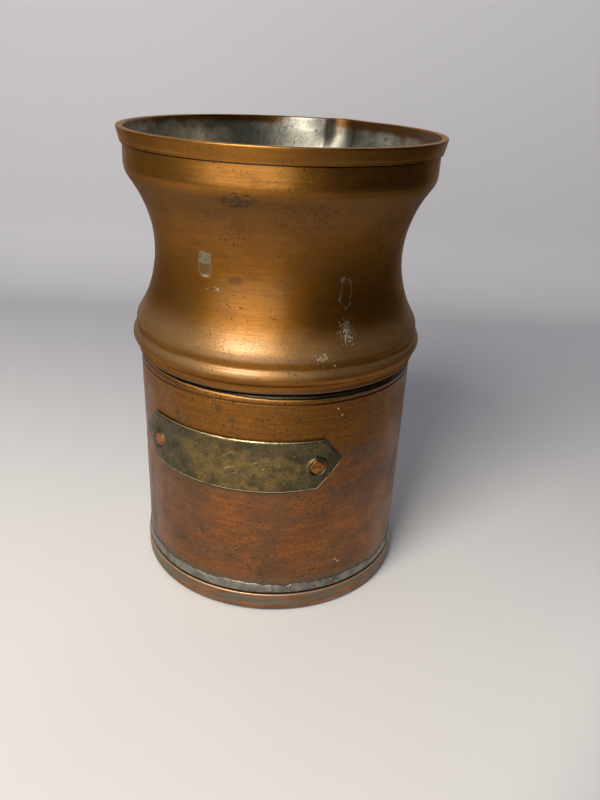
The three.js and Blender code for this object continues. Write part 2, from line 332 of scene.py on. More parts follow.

# %% [markdown]
# ## The pot's own measures
# Finishes and pieces share a few measures. Those that the frame holds are read from its boxes, and the neck's
# outline is a chain of arcs: a bead, a lower shoulder, a waist and an upper shoulder, each given by the
# centre of its arc, as radius and height, and its size. OVER_ALL is a height above the whole pot, for wear
# and a painted highlight that a piece doesn't have.

# %% Measures
SKIN = 0.02
SHEET = 0.9
SKIRT_RADIUS = 47.0
BEAD_CENTRE = (45.75, 85.85)
BEAD_ARC = 2.95
LOWER_SHOULDER = (41.6, 90.3)
LOWER_SHOULDER_ARC = 5.8
WAIST_CENTRE = (79.1, 113.7)
WAIST_ARC = 38.4
UPPER_SHOULDER = (41.8, 140.8)
UPPER_SHOULDER_ARC = 7.7
LOWER_TURN = 32.0
UPPER_TURN = 36.0
COLLAR_RADIUS = 49.5
CAN_TOP = 77.5
CAN_FOOT_RADIUS = 45.5
SCRIBE_BELOW = 0.3
OVER_ALL = 200

skirt_foot = foot_of("neck_shell")
mouth_top = top_of("neck_shell")
mouth_radius = radius_of("neck_shell") - SKIN
band_foot = foot_of("rim_band")
can_foot = foot_of("can_wall")
can_radius = radius_of("can_wall") - SKIN
pan_top = top_of("base_pan")
smear_foot = foot_of("base_solder")
smear_top = top_of("base_solder")
strip_low, strip_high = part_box("front_plate")
strip_middle = (strip_low.z + strip_high.z) / 2 / MM


def waist_radius_at(height):
    """The neck's outside radius at a height on its waist, and about its collar's above that."""
    return min(WAIST_CENTRE[0] - math.sqrt(WAIST_ARC ** 2 - (height - WAIST_CENTRE[1]) ** 2), COLLAR_RADIUS)


def on_waist(degrees_round, height):
    """A spot on the neck: its angle round the pot, its radius and its height."""
    return degrees_round, waist_radius_at(height), height


def can_radius_at(height):
    """The can's outside radius at a height."""
    return CAN_FOOT_RADIUS + (can_radius - CAN_FOOT_RADIUS) * (height - can_foot) / (CAN_TOP - can_foot)


print("mouth radius", round(mouth_radius, 2), "mm, waist radius", round(waist_radius_at(114), 2), "mm")

# %% [markdown]
# ## Finishes
# Every finish below starts from the real metal and how it was worked, and then adds what years in a kitchen
# did to it. Patterns are sized in millimetres on the object's own coordinates, so they stay put all round.
# A mark that sits in one place, such as a scar or a splash, gets its own small mask, set by its angle round
# the pot and its height. The finishes come before the pieces, because a piece needs them when its sheet is
# given its thickness: the inner wall then takes the second one.

# %% Masks that the finishes share
NOISE_ROUGHNESS = 0.62
LATHE_STRETCH = (0.04, 0.04, 1)
MARK_DEPTH = 8
CRUST_FLECK = 0.55
CRUST_SPREAD = 0.3
DOWN_STRETCH = (1, 1, 0.6)


def moved(place, seed, stretch=(1, 1, 1), lean=0.0):
    """The place, shifted so that two patterns of one size don't lie on each other, leaning and stretched."""
    return add_node("Mapping", {"Vector": place, "Location": (seed, seed, seed), "Rotation": (0, lean, 0),
                                "Scale": stretch})


def blots(place, size, low, high, detail=4, seed=0.0, stretch=(1, 1, 1)):
    """Soft blots of about a size in millimetres: 0 where the noise is under low, 1 over high."""
    noise = add_node("TexNoise", {"Vector": moved(place, seed, stretch), "Scale": every(size),
                                  "Detail": detail, "Roughness": NOISE_ROUGHNESS})
    return fade(noise, low, high)


def lines_round(place, size, low, high, seed=0.0):
    """Fine lines that run round the pot, as polishing on a lathe leaves them."""
    return blots(place, size, low, high, 3, seed, LATHE_STRETCH)


def scratches(place, lean, size, low, seed=0.0):
    """Thin straight scratches that lean by an angle from the level."""
    return blots(moved(place, seed, lean=lean), size, low, low + 0.06, 2, seed, (0.05, 1, 1))


def pits(place, spacing, radius, crowd_size, crowd_low, seed=0.0):
    """Small round pits, a spacing apart, that keep to crowds of a larger size."""
    cells = add_node("TexVoronoi", {"Vector": moved(place, seed), "Scale": every(spacing)}, "Distance")
    edge = radius / spacing
    crowds = blots(place, crowd_size, crowd_low, crowd_low + 0.08, 3, seed + 1)
    return both(fade(cells, edge, edge * 0.6), crowds)


def web(place, size, line, seed):
    """Thin wandering lines round cells of a size, like the skin of a dried splash."""
    wander = add_node("TexNoise", {"Vector": place, "Scale": every(size * 0.7), "Detail": 3}, "Color")
    shift = add_node("VectorMath", {0: wander, 1: (size * MM,) * 3, 2: moved(place, seed)},
                     operation="MULTIPLY_ADD")
    cells = add_node("TexVoronoi", {"Vector": shift, "Scale": every(size)}, "Distance",
                     feature="DISTANCE_TO_EDGE")
    return fade(cells, line / size, line / size * 0.3)


def reach_from(place, spot, half_width, half_height, square=False):
    """0 at a spot on the outside of the pot, and 1 on an oval about it, or on a rounded square."""
    degrees_round, radius, height = spot
    angle = math.radians(degrees_round)
    centre = (radius * MM * math.sin(angle), -radius * MM * math.cos(angle), height * MM)
    local = add_node("Mapping", {
        "Vector": place, "Location": centre, "Rotation": (0, 0, angle),
        "Scale": (half_width * MM, MARK_DEPTH * MM, half_height * MM)}, vector_type="TEXTURE")
    if square:
        local = add_node("VectorMath", {0: local, 1: local}, operation="MULTIPLY")
    return add_node("VectorMath", {0: local}, "Value", operation="LENGTH")


def mark(place, spot, half_width, half_height, ragged, size=1.2, square=False):
    """A soft-edged mark on the outside of the pot, 1 inside it and 0 outside."""
    reach = reach_from(place, spot, half_width, half_height, square)
    waves = add_node("TexNoise", {"Vector": place, "Scale": every(size), "Detail": 3})
    total = add_node("Math", {0: waves, 1: 2 * ragged, 2: reach}, operation="MULTIPLY_ADD")
    return fade(total, 1.1 + ragged, 0.8 + ragged)


def crust(place, spot, half_width, half_height):
    """A dried splash: fine flecks, dense in its middle and thinning out to nothing."""
    reach = reach_from(place, spot, half_width, half_height)
    drawn_down = moved(place, 0, DOWN_STRETCH)
    flecks = add_node("TexNoise", {"Vector": drawn_down, "Scale": every(CRUST_FLECK), "Detail": 3})
    thinned = add_node("Math", {0: reach, 1: -CRUST_SPREAD, 2: flecks}, operation="MULTIPLY_ADD")
    return fade(thinned, 0.36, 0.46)


def height_on(place, wander=0.0, size=8.0, lean=0.0):
    """The height on the piece in metres, made uneven by a wander and tilted by a lean, for edges of films."""
    level = add_node("SeparateXYZ", {0: place}, "Z")
    across = add_node("SeparateXYZ", {0: place}, "X")
    tilted = add_node("Math", {0: across, 1: lean, 2: level}, operation="MULTIPLY_ADD")
    waves = add_node("TexNoise", {"Vector": place, "Scale": every(size), "Detail": 4})
    swing = between(waves, -wander * MM, wander * MM)
    return add_node("Math", {0: tilted, 1: swing}, operation="ADD")


def level_line(height, middle, half_width):
    """A thin level line: 1 at its middle height in millimetres, 0 beyond its half width."""
    off = add_node("Math", {0: height, 1: middle * MM}, operation="SUBTRACT")
    gap = add_node("Math", {0: off}, operation="ABSOLUTE")
    return fade(gap, half_width, half_width * 0.4, MM)


def sunk(*steps):
    """Bump in steps, each a mask, the depth in millimetres that it sinks the surface by, and a strength."""
    below = {}
    for mask, depth, strength in steps:
        inputs = {"Height": mask, "Strength": strength, "Distance": depth * MM, **below}
        below = {"Normal": add_node("Bump", inputs, "Normal", invert=True)}
    return below["Normal"]


# %% [markdown]
# ### Golden copper of the neck and hoop
# Copper that is polished now and then keeps a thin brown film: it looks golden where it is thin and brown
# where it is thick, and violet-brown in a band on the upper flare. It is a bare metal, so metallic is 1, and
# its roughness of a little under a half gives a satin sheen. Lathe lines run round it, a fine grain breaks up
# its highlights, and small pits gather in crowds. The film is copper oxide, which bends light strongly, so a
# thin coat with its refractive index of 2.7 whitens the window's highlight. The oxide also dims the metal's
# reflections at a slant, where bare copper would go white, and the specular tint gives that. Dust lies on the
# lower shoulder and the bead, which face up, so there the finish is partly a dull tan and less of a metal;
# that tan is also a painted highlight that pales the window's reflection there. Grime and painted shade lie
# in a thin line under the hoop, and the hoop's top is rubbed bright with a painted highlight.

# %% Golden copper
GOLDEN = "#95601A"
FILM_BROWN = "#794B14"
FLARE_VIOLET = "#6E4C22"
POLISHED = "#B07428"
SLANT_TINT = "#D4C8BC"
DUST_HIGHLIGHT = "#A98D66"
DUST_HIGHLIGHT_TOP = 102
DUST_HIGHLIGHT_FOOT = 90
DUST_HIGHLIGHT_COVER = 0.22
PIT_BLACK = "#20140B"
VIOLET_TOP = 137.5
VIOLET_FOOT = 122
OXIDE_IOR = 2.7


def golden_copper(name, grime_shade_at, rubbed_highlight_above, marks=None):
    """Satin copper under a thin brown film. Grime and painted shade lie in a line at one height, the metal is
    rubbed bright, with a painted highlight, above another, and a function may add the layers of this piece's
    own marks."""
    finish, place = new_finish(name)
    height = height_on(place, 0.8, 9)
    violet_band = both(fade(height, VIOLET_FOOT, VIOLET_TOP - 3, MM), fade(height, VIOLET_TOP + 1, VIOLET_TOP - 1, MM))
    polished = fade(height, VIOLET_TOP + 0.5, VIOLET_TOP + 2, MM)
    clouded = blots(place, 5, 0.44, 0.7, 6, 8.6, (0.5, 0.5, 1))
    drawn = lines_round(place, 0.8, 0.32, 0.68)
    grain = blots(place, 0.75, 0.44, 0.68, 2, 3.1)
    on_shoulder = both(fade(height, DUST_HIGHLIGHT_TOP, DUST_HIGHLIGHT_TOP - 8, MM), fade(height, DUST_HIGHLIGHT_FOOT, DUST_HIGHLIGHT_FOOT + 1.5, MM))
    bead = BEAD_CENTRE[1]
    on_bead = both(fade(height, bead - 0.5, bead + 1.3, MM), fade(height, bead + 3.3, bead + 2.3, MM))
    dust_and_highlight = add_node("Math", {0: on_shoulder, 1: on_bead}, operation="ADD")
    pitted = pits(place, 1.5, 0.27, 11, 0.54)
    layers = [
        (blots(place, 26, 0.34, 0.7, 5), FILM_BROWN, 0.7),
        (violet_band, FLARE_VIOLET, 0.8),
        (polished, POLISHED, 0.7),
        (clouded, "#5F3C12", 0.35),
        (drawn, "#6B4210", 0.3),
        (grain, "#5A360C", 0.2),
        # Dust, and a painted highlight, on the lower shoulder and the bead.
        (dust_and_highlight, DUST_HIGHLIGHT, 0.35),
        (both(dust_and_highlight, blots(place, 0.6, 0.5, 0.64, 3, 1.9)), "#46301A", 0.3),
        # Rubbed bright with a painted highlight above a height.
        (fade(height_on(place, 0.15, 5), rubbed_highlight_above, rubbed_highlight_above + 0.2, MM), "#BE8A48", 0.7),
        (pitted, PIT_BLACK, 0.85),
        (pits(place, 2.2, 0.24, 9, 0.42, 6.4), PIT_BLACK, 0.6),
        *(marks(place) if marks else []),
        # Grime and painted shade in a thin line under the hoop.
        (level_line(height_on(place, 0.1, 3), grime_shade_at, 0.32), "#140D07", 0.9),
    ]
    satin = between(clouded, 0.42, 0.52)
    return complete(finish, GOLDEN, layers, {
        "Metallic": between(dust_and_highlight, 1, 1 - DUST_HIGHLIGHT_COVER),
        "Roughness": add_node("Math", {0: polished, 1: -0.08, 2: satin}, operation="MULTIPLY_ADD"),
        "Normal": sunk((drawn, 0.035, 0.5), (grain, 0.02, 0.4), (pitted, 0.12, 0.8)),
        "Specular Tint": from_hex(SLANT_TINT),
        "Coat Weight": 0.06, "Coat IOR": OXIDE_IOR, "Coat Roughness": 0.21})


# %% [markdown]
# The neck's own marks are a scar with green in it, a dark patch, dark scrapes, splashes and a drip that dried
# pale, and a grey-violet band along the skirt's foot. Scrapes and splashes are lists: the angle round the
# pot, the height, the half width and half height, for scrapes the size of their flecks, and last the
# strength.

# %% Marks on the neck
SCRAPES = [
    (26, 132, 9, 5.5, 0.8, 0.5), (76, 119, 5, 14, 1.2, 0.5), (-1, 126, 5, 4.5, 0.6, 0.6),
    (-7, 131.5, 5, 1.8, 0.6, 0.5), (60, 128, 6, 6, 1.0, 0.45), (4, 143.6, 3, 1.4, 0.6, 0.5),
    (17, 140.6, 5, 2.2, 0.6, 0.4), (62, 140.5, 4, 4, 0.8, 0.5)]
SPLASHES = [
    (45, 99, 4.4, 5.4, 0.6), (45.5, 96.8, 2.4, 3.0, 0.75), (33.5, 91.8, 4.4, 2.6, 0.4),
    (-8.4, 109.2, 1.2, 0.8, 0.5), (-13, 108.8, 0.8, 0.5, 0.3)]
PATCH = on_waist(3.4, 136.6)
SCAR = (-14.6, waist_radius_at(116))
DRIP = on_waist(46, 109.6)


def neck_marks(place):
    """The layers of the neck's own marks."""
    smear = both(mark(place, PATCH, 4.6, 2.2, 0.7), blots(place, 1.3, 0.36, 0.56, 4, 4.9, (0.35, 0.35, 1)))
    flecked = both(mark(place, PATCH, 5, 2.8, 0.6), blots(place, 0.9, 0.51, 0.6, 4, 3.6, (0.5, 0.5, 1)))
    green = both(mark(place, (*SCAR, 117.9), 2.2, 1.8, 0.9, 0.8, square=True),
                 blots(place, 1.8, 0.3, 0.6, 4, 1.2))
    layers = [
        (smear, "#43342C", 0.6),
        (flecked, "#20150C", 0.7),
        (mark(place, (-0.5, waist_radius_at(112), 112.4), 2.4, 1.4, 1.0), "#3E2C20", 0.4),
        (mark(place, (*SCAR, 115.8), 2.3, 3.8, 0.8, 0.8, square=True), "#BDAF8C", 0.3),
        (mark(place, (*SCAR, 116.2), 2.0, 3.4, 0.8, 0.8, square=True), "#76592F", 0.75),
        (green, "#9BA08A", 0.65),
        (mark(place, (-14.2, SCAR[1], 112.6), 1.3, 0.3, 0.4), "#E8DCBC", 0.55),
    ]
    for *spot, half_width, half_height, size, strength in SCRAPES:
        scraped = both(mark(place, on_waist(*spot), half_width, half_height, 0.5),
                       blots(place, size, 0.55, 0.62, 3, 1.7, DOWN_STRETCH))
        layers.append((scraped, "#22150B", strength))
    dots = both(mark(place, (1, 45, 95.5), 10, 4, 0.6, 3), pits(place, 1.1, 0.26, 6, 0.4, 4.2))
    foot = fade(height_on(place, 0.2, 4), skirt_foot + 1.1, skirt_foot + 0.6, MM)
    drip_edge = both(mark(place, DRIP, 2.4, 4.6, 0.9, 1.8),
                     fade(mark(place, DRIP, 2.0, 4.1, 0.9, 1.8), 1, 0.2))
    drip = both(drip_edge, blots(place, 1.6, 0.42, 0.54, 3, 2.7))
    layers += [(dots, PIT_BLACK, 0.85), (foot, "#6B5549", 0.6), (drip, "#D8C8A6", 0.65)]
    for *spot, half_width, half_height, strength in SPLASHES:
        layers.append((crust(place, on_waist(*spot), half_width, half_height), "#E6D6B6", strength))
    drop = mark(place, (38.5, 46.6, 89.6), 0.35, 0.35, 0.2)
    return [*layers, (drop, "#F0E2C4", 0.8)]


# %% [markdown]
# ### Tin lining
# Copper that holds food is tinned inside: molten tin is wiped over it with a rag. It dulls to a mottled grey,
# with darker spots where it thins, and it has worn off along the mouth's edge, so brown copper shows there.
# The wiping runs round the pot, which draws each reflection out upright: that is what anisotropic gives.

# %% Tin lining
TIN_WIPED = 0.7
QUARTER_TURN = 0.25
KEPT_ROUND = 187
LIP_STAIN_ROUND = 172.5
CREASES_ROUND = (178.4, 166.8)


def tin_lining(name, bare_above=OVER_ALL):
    """Wiped tin, worn to bare copper above a height, apart from a stretch at the rear."""
    finish, place = new_finish(name)
    cloud = blots(place, 11, 0.35, 0.7, 6, 2.4)
    grain = blots(place, 1.1, 0.4, 0.66, 3, 0.3)
    lip_stain = mark(place, (LIP_STAIN_ROUND, mouth_radius, bare_above - 3), 5.5, 9, 0.5)
    height = height_on(place, 1.4, 6, 0.02)
    kept = fade(reach_from(place, (KEPT_ROUND, mouth_radius, bare_above), 12, 6), 0.6, 1.1)
    stain = both(fade(height, bare_above - 5, bare_above - 0.5, MM), blots(place, 5, 0.42, 0.62, 4, 1.1))
    bare = fade(height, bare_above - 0.6, bare_above + 1.6, MM)
    layers = [
        (cloud, "#84847B", 1),
        (grain, "#6B6D64", 0.3),
        (blots(place, 2.6, 0.6, 0.68, 4, 7.7), "#45443B", 0.6),
        (lip_stain, "#757064", 0.6),
        # Dark lines down the lip's two creases are painted shade.
        *[(mark(place, (degrees_round, mouth_radius, bare_above - 3), 0.7, 7, 0.9, 2.5), "#4B3B26", 0.4)
          for degrees_round in CREASES_ROUND],
        (both(stain, kept), "#6B6248", 0.6),
        (both(bare, kept), "#6D4C28", 1),
    ]
    dulled = add_node("Math", {0: cloud, 1: lip_stain}, operation="MAXIMUM")
    return complete(finish, "#BBB6A6", layers, {
        "Metallic": 1, "Roughness": between(dulled, 0.36, 0.5),
        "Normal": sunk((blots(place, 4, 0.2, 0.8, 3, 1.3), 0.04, 0.5), (grain, 0.03, 0.5)),
        "Anisotropic": TIN_WIPED, "Anisotropic Rotation": QUARTER_TURN})


# %% [markdown]
# ### Red copper of the can
# The can has been handled less kindly: its film is blotched red, brown and orange, with olive spots and dark
# pits, and it is duller than the neck. Above the strip it is nearly as golden as the neck. The line scribed
# under its shoulder is dark, and a painted shadow lies along the strip's lower edge, whose curve rises with
# the square of the distance from the middle. A thin painted highlight runs along the can's shoulder. Where
# the neck covers the can, it is olive, with a black line of painted shade at the gap. A few specks of solder
# are painted bright as glints.

# %% Red copper
RED_FILM_TOP = 60
STRIP_CURVE = 1.23
STRIP_SHADOW_BELOW = 9.85
SPECK_GLINTS = [(46, 17.7), (47.5, 16.6), (42, 74.7), (44, 72.4)]


def red_copper(name):
    """Blotched, dull copper with olive spots, golden near the top, olive under the neck with a black line of
    painted shade, a painted shadow under the strip and a painted highlight on the shoulder.
    """
    finish, place = new_finish(name)
    blotch = blots(place, 15, 0.4, 0.6, 8, 4.6)
    veins = both(web(place, 2.4, 0.3, 1.9), blots(place, 12, 0.46, 0.58, 4, 3.7))
    upper = fade(height_on(place, 5, 12), RED_FILM_TOP - 3, RED_FILM_TOP + 3, MM)
    drawn = lines_round(place, 0.7, 0.34, 0.66, 2.0)
    grain = blots(place, 0.75, 0.4, 0.66, 3, 2.2)
    pitted = pits(place, 1.7, 0.36, 9, 0.44, 0.7)
    level = height_on(place)
    across = add_node("SeparateXYZ", {0: place}, "X")
    along_strip = add_node("Math", {0: both(across, across), 1: -STRIP_CURVE, 2: level},
                           operation="MULTIPLY_ADD")
    in_front = fade(add_node("SeparateXYZ", {0: place}, "Y"), -36, -39, MM)
    leaning = height_on(place, 0.25, 4, 0.016)
    layers = [
        (blotch, "#735034", 1),
        (blots(place, 11, 0.46, 0.56, 9, 9.3, (0.6, 0.6, 1)), "#AC641E", 0.7),
        (blots(place, 3, 0.4, 0.62, 6, 0.2, (0.5, 0.5, 1)), "#6E4628", 0.4),
        (veins, "#55331A", 0.3),
        (upper, "#945F16", 0.8),
        (blots(place, 3.6, 0.6, 0.68, 5, 6.1), "#4E4B35", 0.7),
        (drawn, "#5D3A1C", 0.4),
        (grain, "#4E2F17", 0.4),
        (pitted, "#1D120A", 0.8),
        # Specks of solder, painted bright as glints.
        *[(mark(place, (degrees_round, can_radius, height), 0.35, 0.35, 0.3), "#E4D8C0", 0.8)
          for degrees_round, height in SPECK_GLINTS],
        (level_line(level, CAN_TOP - SCRIBE_BELOW, 0.3), "#2A190D", 0.75),
        (fade(height_on(place, 1.5, 5), 15, 11.5, MM), "#5E5B4E", 0.5),
        # A painted shadow along the strip's lower edge.
        (both(in_front, level_line(along_strip, strip_middle - STRIP_SHADOW_BELOW, 0.5)), "#1A1008", 0.85),
        # A painted highlight on the can's shoulder, olive under the neck, and a black line of painted shade
        # in the gap.
        (level_line(leaning, CAN_TOP + 1.35, 0.3), "#D9A664", 0.45),
        (fade(leaning, CAN_TOP + 1.5, CAN_TOP + 1.7, MM), "#5A5238", 1),
        (level_line(leaning, CAN_TOP + 1.75, 0.35), "#050403", 0.95),
    ]
    return complete(finish, "#8E5C2D", layers, {
        "Metallic": 1, "Roughness": between(blotch, 0.38, 0.5),
        "Normal": sunk((drawn, 0.04, 0.5), (grain, 0.04, 0.5), (pitted, 0.14, 0.8)),
        "Coat Weight": between(upper, 0.11, 0.04), "Coat IOR": OXIDE_IOR, "Coat Roughness": 0.4})


# %% [markdown]
# ### Solder
# Soft solder is mostly lead and tin. It sets with a dull grey skin, and stays bright only where rubbed.
# Painted shade darkens the crevice at the foot of the band over the pan. In the neck joint the solder is
# painted nearly black, as the shade deep in the gap, apart from some bright lumps on the left that were
# squeezed out.

# %% Solder
def lumpy(place):
    """The bump of solder that set in lumps."""
    return sunk((blots(place, 1.1, 0.2, 0.8, 3, 3.3), 0.14, 0.8))


def soft_solder(name):
    """Dull grey solder with a lumpy skin, brighter where it was rubbed, and painted shade in the crevice at
    its foot.
    """
    finish, place = new_finish(name)
    cloud = blots(place, 5, 0.35, 0.7, 5, 1.9)
    crevice_shade = fade(height_on(place, 0.15, 2), smear_foot + 0.75, smear_foot + 0.3, MM)
    layers = [
        (cloud, "#68665E", 1),
        (blots(place, 2.2, 0.62, 0.7, 3, 8.2), "#B9BBB0", 0.6),
        (blots(place, 1.6, 0.56, 0.68, 4, 5.1), "#3B3C36", 0.55),
        # Painted shade in the crevice at the foot.
        (crevice_shade, "#15130F", 0.9),
    ]
    return complete(finish, "#8B897E", layers, {
        "Metallic": 0.85, "Roughness": between(cloud, 0.36, 0.52), "Normal": lumpy(place)})


def shaded_joint_filling(name):
    """Solder painted black as the shade deep in the gap, bright where it was squeezed out on the left."""
    finish, place = new_finish(name)
    across = add_node("SeparateXYZ", {0: place}, "X")
    left = both(fade(across, -20, -34, MM), blots(place, 2.2, 0.48, 0.56, 3, 0.9))
    return complete(finish, "#060504", [(left, "#C9C2AC", 1)], {
        "Metallic": 0.85, "Roughness": between(left, 0.6, 0.34), "Normal": lumpy(place)})


# %% [markdown]
# ### The pan's copper
# The turned-up edge of the pan is paler copper, rubbed bright along its top, where a painted highlight runs
# too, with grey solder wiped over its side in ragged patches drawn out round the pot. On the left they join
# up.
# A painted shadow darkens its foot, where it meets the paper.

# %% Pan copper
def pan_copper(name):
    """Rubbed copper with ragged grey smears of solder round its side, a painted highlight along its top and a
    painted shadow at its foot.
    """
    finish, place = new_finish(name)
    height = height_on(place, 0.5, 4)
    patches = blots(place, 2.6, 0.39, 0.49, 6, 0.6, (0.22, 0.22, 1))
    left = fade(add_node("SeparateXYZ", {0: place}, "X"), -8, -30, MM)
    joined = add_node("Math", {0: patches, 1: left}, operation="MAXIMUM")
    wiped = both(fade(height, 1.6, 3.2, MM), joined)
    layers = [
        (blots(place, 9, 0.36, 0.68, 5, 3.9), "#7C5134", 1),
        (wiped, "#7D7768", 0.85),
        (lines_round(place, 0.8, 0.35, 0.65, 5.0), "#5A4230", 0.35),
        # Rubbed bright along the top, with a painted highlight.
        (fade(height_on(place), pan_top - 0.55, pan_top - 0.3, MM), "#E3B48A", 0.75),
        # Painted shadow at the foot.
        (fade(height, 1.7, 0.6, MM), "#1C130E", 0.9),
    ]
    return complete(finish, "#A9714A", layers, {
        "Metallic": 0.95, "Roughness": between(wiped, 0.36, 0.5), "Normal": sunk((wiped, 0.1, 0.8))})


# %% [markdown]
# ### Brass strip, rivets and braze
# Brass that is never polished goes olive and dull, with a warmer, scratched patch in the middle where thumbs
# rub it, which is also a painted highlight. Its edges stay bright, with wear and a painted highlight. The
# rivets are plain copper with dints from the hammer, and the braze, a brass that was melted into the seam,
# has file marks. Those three are simple enough for one function.

# %% Brass and plain metals
def tarnished_brass(name):
    """Olive brass, rubbed golden in the middle with a painted highlight, with fine scratches every way."""
    finish, place = new_finish(name)
    cloud = blots(place, 7, 0.38, 0.64, 6, 5.5)
    rubbed = both(mark(place, (4, can_radius, strip_middle - 1), 20, 8.5, 0.6, 6),
                  blots(place, 3.4, 0.34, 0.66, 7, 1.2))
    flecks = blots(place, 0.8, 0.46, 0.68, 3, 6.6)
    scored = scratches(place, 0.5, 0.55, 0.66)
    scored_back = scratches(place, -0.7, 0.5, 0.68, 2.0)
    layers = [
        (cloud, "#4D4533", 1),
        # The thumb-rubbed patch, which is also a painted highlight.
        (rubbed, "#8E7340", 0.75),
        (blots(place, 2.6, 0.56, 0.68, 5, 8.8), "#2F2A1E", 0.55),
        (flecks, "#37331F", 0.4),
        (scored, "#B3A673", 0.6),
        (scored_back, "#A89A68", 0.5),
    ]
    return complete(finish, "#675A3E", layers, {
        "Metallic": 0.95, "Roughness": between(cloud, 0.36, 0.5),
        "Normal": sunk((scored, 0.05, 0.8), (scored_back, 0.05, 0.8), (flecks, 0.07, 0.5))})


def plain_metal(name, tone, clouded_tone, cloud, roughness, relief, depth):
    """A metal with clouds of a second tone, which are also rougher, and a second pattern of blots sunk in."""
    finish, place = new_finish(name)
    clouded = blots(place, *cloud)
    return complete(finish, tone, [(clouded, clouded_tone, 1)], {
        "Metallic": 1, "Roughness": between(clouded, *roughness),
        "Normal": sunk((blots(place, *relief), depth, 0.8))})


FILE_MARKS = (0.35, 0.3, 0.7, 3, 1.4, LATHE_STRETCH)
DINTS = (1.4, 0.48, 0.66, 3, 4.4)
filed_braze = plain_metal("filed_braze", "#8F7440", "#5B472A", (4, 0.4, 0.65, 4, 2.8), (0.38, 0.5),
                          FILE_MARKS, 0.06)
worn_highlit_edge = plain_metal("worn_brass_edge_highlight", "#CDBF92", "#7F7550", (5, 0.46, 0.66, 4, 7.1), (0.28, 0.45),
                          (0.6, 0.3, 0.7, 3, 0.5), 0.04)
hammered_copper = [
    plain_metal("hammered_copper_" + side, "#A06834", "#6A4222", DINTS, (0.32, 0.42), DINTS, 0.1)
    for side in ("left", "right")]
print("plain metals:", filed_braze.name, worn_highlit_edge.name, [finish.name for finish in hammered_copper])

# %% [markdown]
# ## Drawing round sheet
# A coppersmith raises a pot by working sheet round a form, ring after ring. The same works in edit mode:
# start from a circle of points, extrude it a step up, scale it about the axis, and go on along an outline.
# A spin of the outline would do as well, but it leaves a seam of double points to merge, and its faces can
# come out turned inside out. Arcs of the outline come from a formula, and straight runs are cut into short
# steps, so that dents and the pouring lip have points to move.

# %% Outlines and rings
ROUND_POINTS = 256
DOUBLE_POINTS = 0.001


def arc(radius, height, size, start, end, step=0.7):
    """Points on an arc about (radius, height), from one angle to another; 0 is outwards, 90 is up."""
    count = max(2, math.ceil(abs(math.radians(end - start)) * size / step))
    turns = [math.radians(start + (end - start) * i / count) for i in range(count + 1)]
    return [(radius + size * math.cos(turn), height + size * math.sin(turn)) for turn in turns]


def in_steps(outline, step=1.0):
    """The outline with its straight runs cut into steps of about so many millimetres."""
    fine = [outline[0]]
    for (r0, h0), (r1, h1) in zip(outline, outline[1:]):
        count = max(1, math.ceil(math.hypot(r1 - r0, h1 - h0) / step))
        fine += [(r0 + (r1 - r0) * i / count, h0 + (h1 - h0) * i / count) for i in range(1, count + 1)]
    return fine


def softened(outline):
    """The outline with its corners eased: each point moves towards the middle of its neighbours."""
    inner = [((a[0] + 2 * b[0] + c[0]) / 4, (a[1] + 2 * b[1] + c[1]) / 4)
             for a, b, c in zip(outline, outline[1:], outline[2:])]
    return [outline[0], *inner, outline[-1]]


def draw_round(name, outline, finishes, points=ROUND_POINTS, capped=False):
    """Raises a ring of points along an outline of radius and height. A capped one closes on the axis."""
    bpy.ops.object.select_all(action="DESELECT")
    (radius, height), *others = outline
    bpy.ops.mesh.primitive_circle_add(vertices=points, radius=radius * MM, location=(0, 0, height * MM),
                                      fill_type="TRIFAN" if capped else "NOTHING")
    piece = name_piece(name)
    bpy.ops.object.mode_set(mode="EDIT")
    if capped:
        bpy.ops.mesh.select_all(action="DESELECT")
        bpy.ops.mesh.select_non_manifold()
    for next_radius, next_height in others:
        rise = (next_height - height) * MM
        bpy.ops.mesh.extrude_region_move(TRANSFORM_OT_translate={"value": (0, 0, rise)})
        growth = next_radius / radius
        bpy.ops.transform.resize(value=(growth, growth, 1), center_override=(0, 0, 0))
        radius, height = next_radius, next_height
    if capped:
        bpy.ops.mesh.extrude_region_move()
        bpy.ops.mesh.merge(type="CENTER")
    bpy.ops.mesh.select_all(action="SELECT")
    bpy.ops.mesh.remove_doubles(threshold=DOUBLE_POINTS * MM)
    bpy.ops.mesh.normals_make_consistent(inside=False)
    bpy.ops.object.mode_set(mode="OBJECT")
    bpy.ops.object.shade_smooth()
    for finish in finishes:
        piece.data.materials.append(finish)
    return piece


def flat_grid(name, width, height, across, up, finishes):
    """A flat grid of a width and a height in metres, with so many faces across and up."""
    bpy.ops.object.select_all(action="DESELECT")
    bpy.ops.mesh.primitive_grid_add(x_subdivisions=across, y_subdivisions=up, size=1)
    piece = name_piece(name, (width, height, 1))
    for finish in finishes:
        piece.data.materials.append(finish)
    return piece


def dent(piece, size, depth, level, detail=2, **settings):
    """Beats a piece out of true by waves of a size and a depth in millimetres, along its faces' normals."""
    texture = bpy.data.textures.new(piece.name + "_dents", "CLOUDS")
    texture.noise_scale = size * MM
    texture.noise_depth = detail
    work(piece, "DISPLACE", texture=texture, texture_coords="LOCAL", strength=depth * MM, mid_level=level,
         **settings)


def make_sheet(piece, size, depth, level):
    """Dents a drawn piece and gives it its sheet's thickness inwards, with its second finish inside."""
    dent(piece, size, depth, level)
    work(piece, "SOLIDIFY", thickness=SHEET * MM, offset=-1, use_even_offset=True, material_offset=1)
    report_piece(piece)


# %% [markdown]
# ## The neck
# The neck is one sheet of copper about 0.9 mm thick, spun to a short skirt, a raised bead, two shoulders with
# a waist between them, and an upright collar that flares a little at the mouth. Its outline is the chain of
# arcs, which run smoothly into each other. The sheet gets its thickness from Solidify, which also gives the
# inside its own finish, because the pot is tinned there.

# %% Neck outline
EDGE_COVER = 0.3

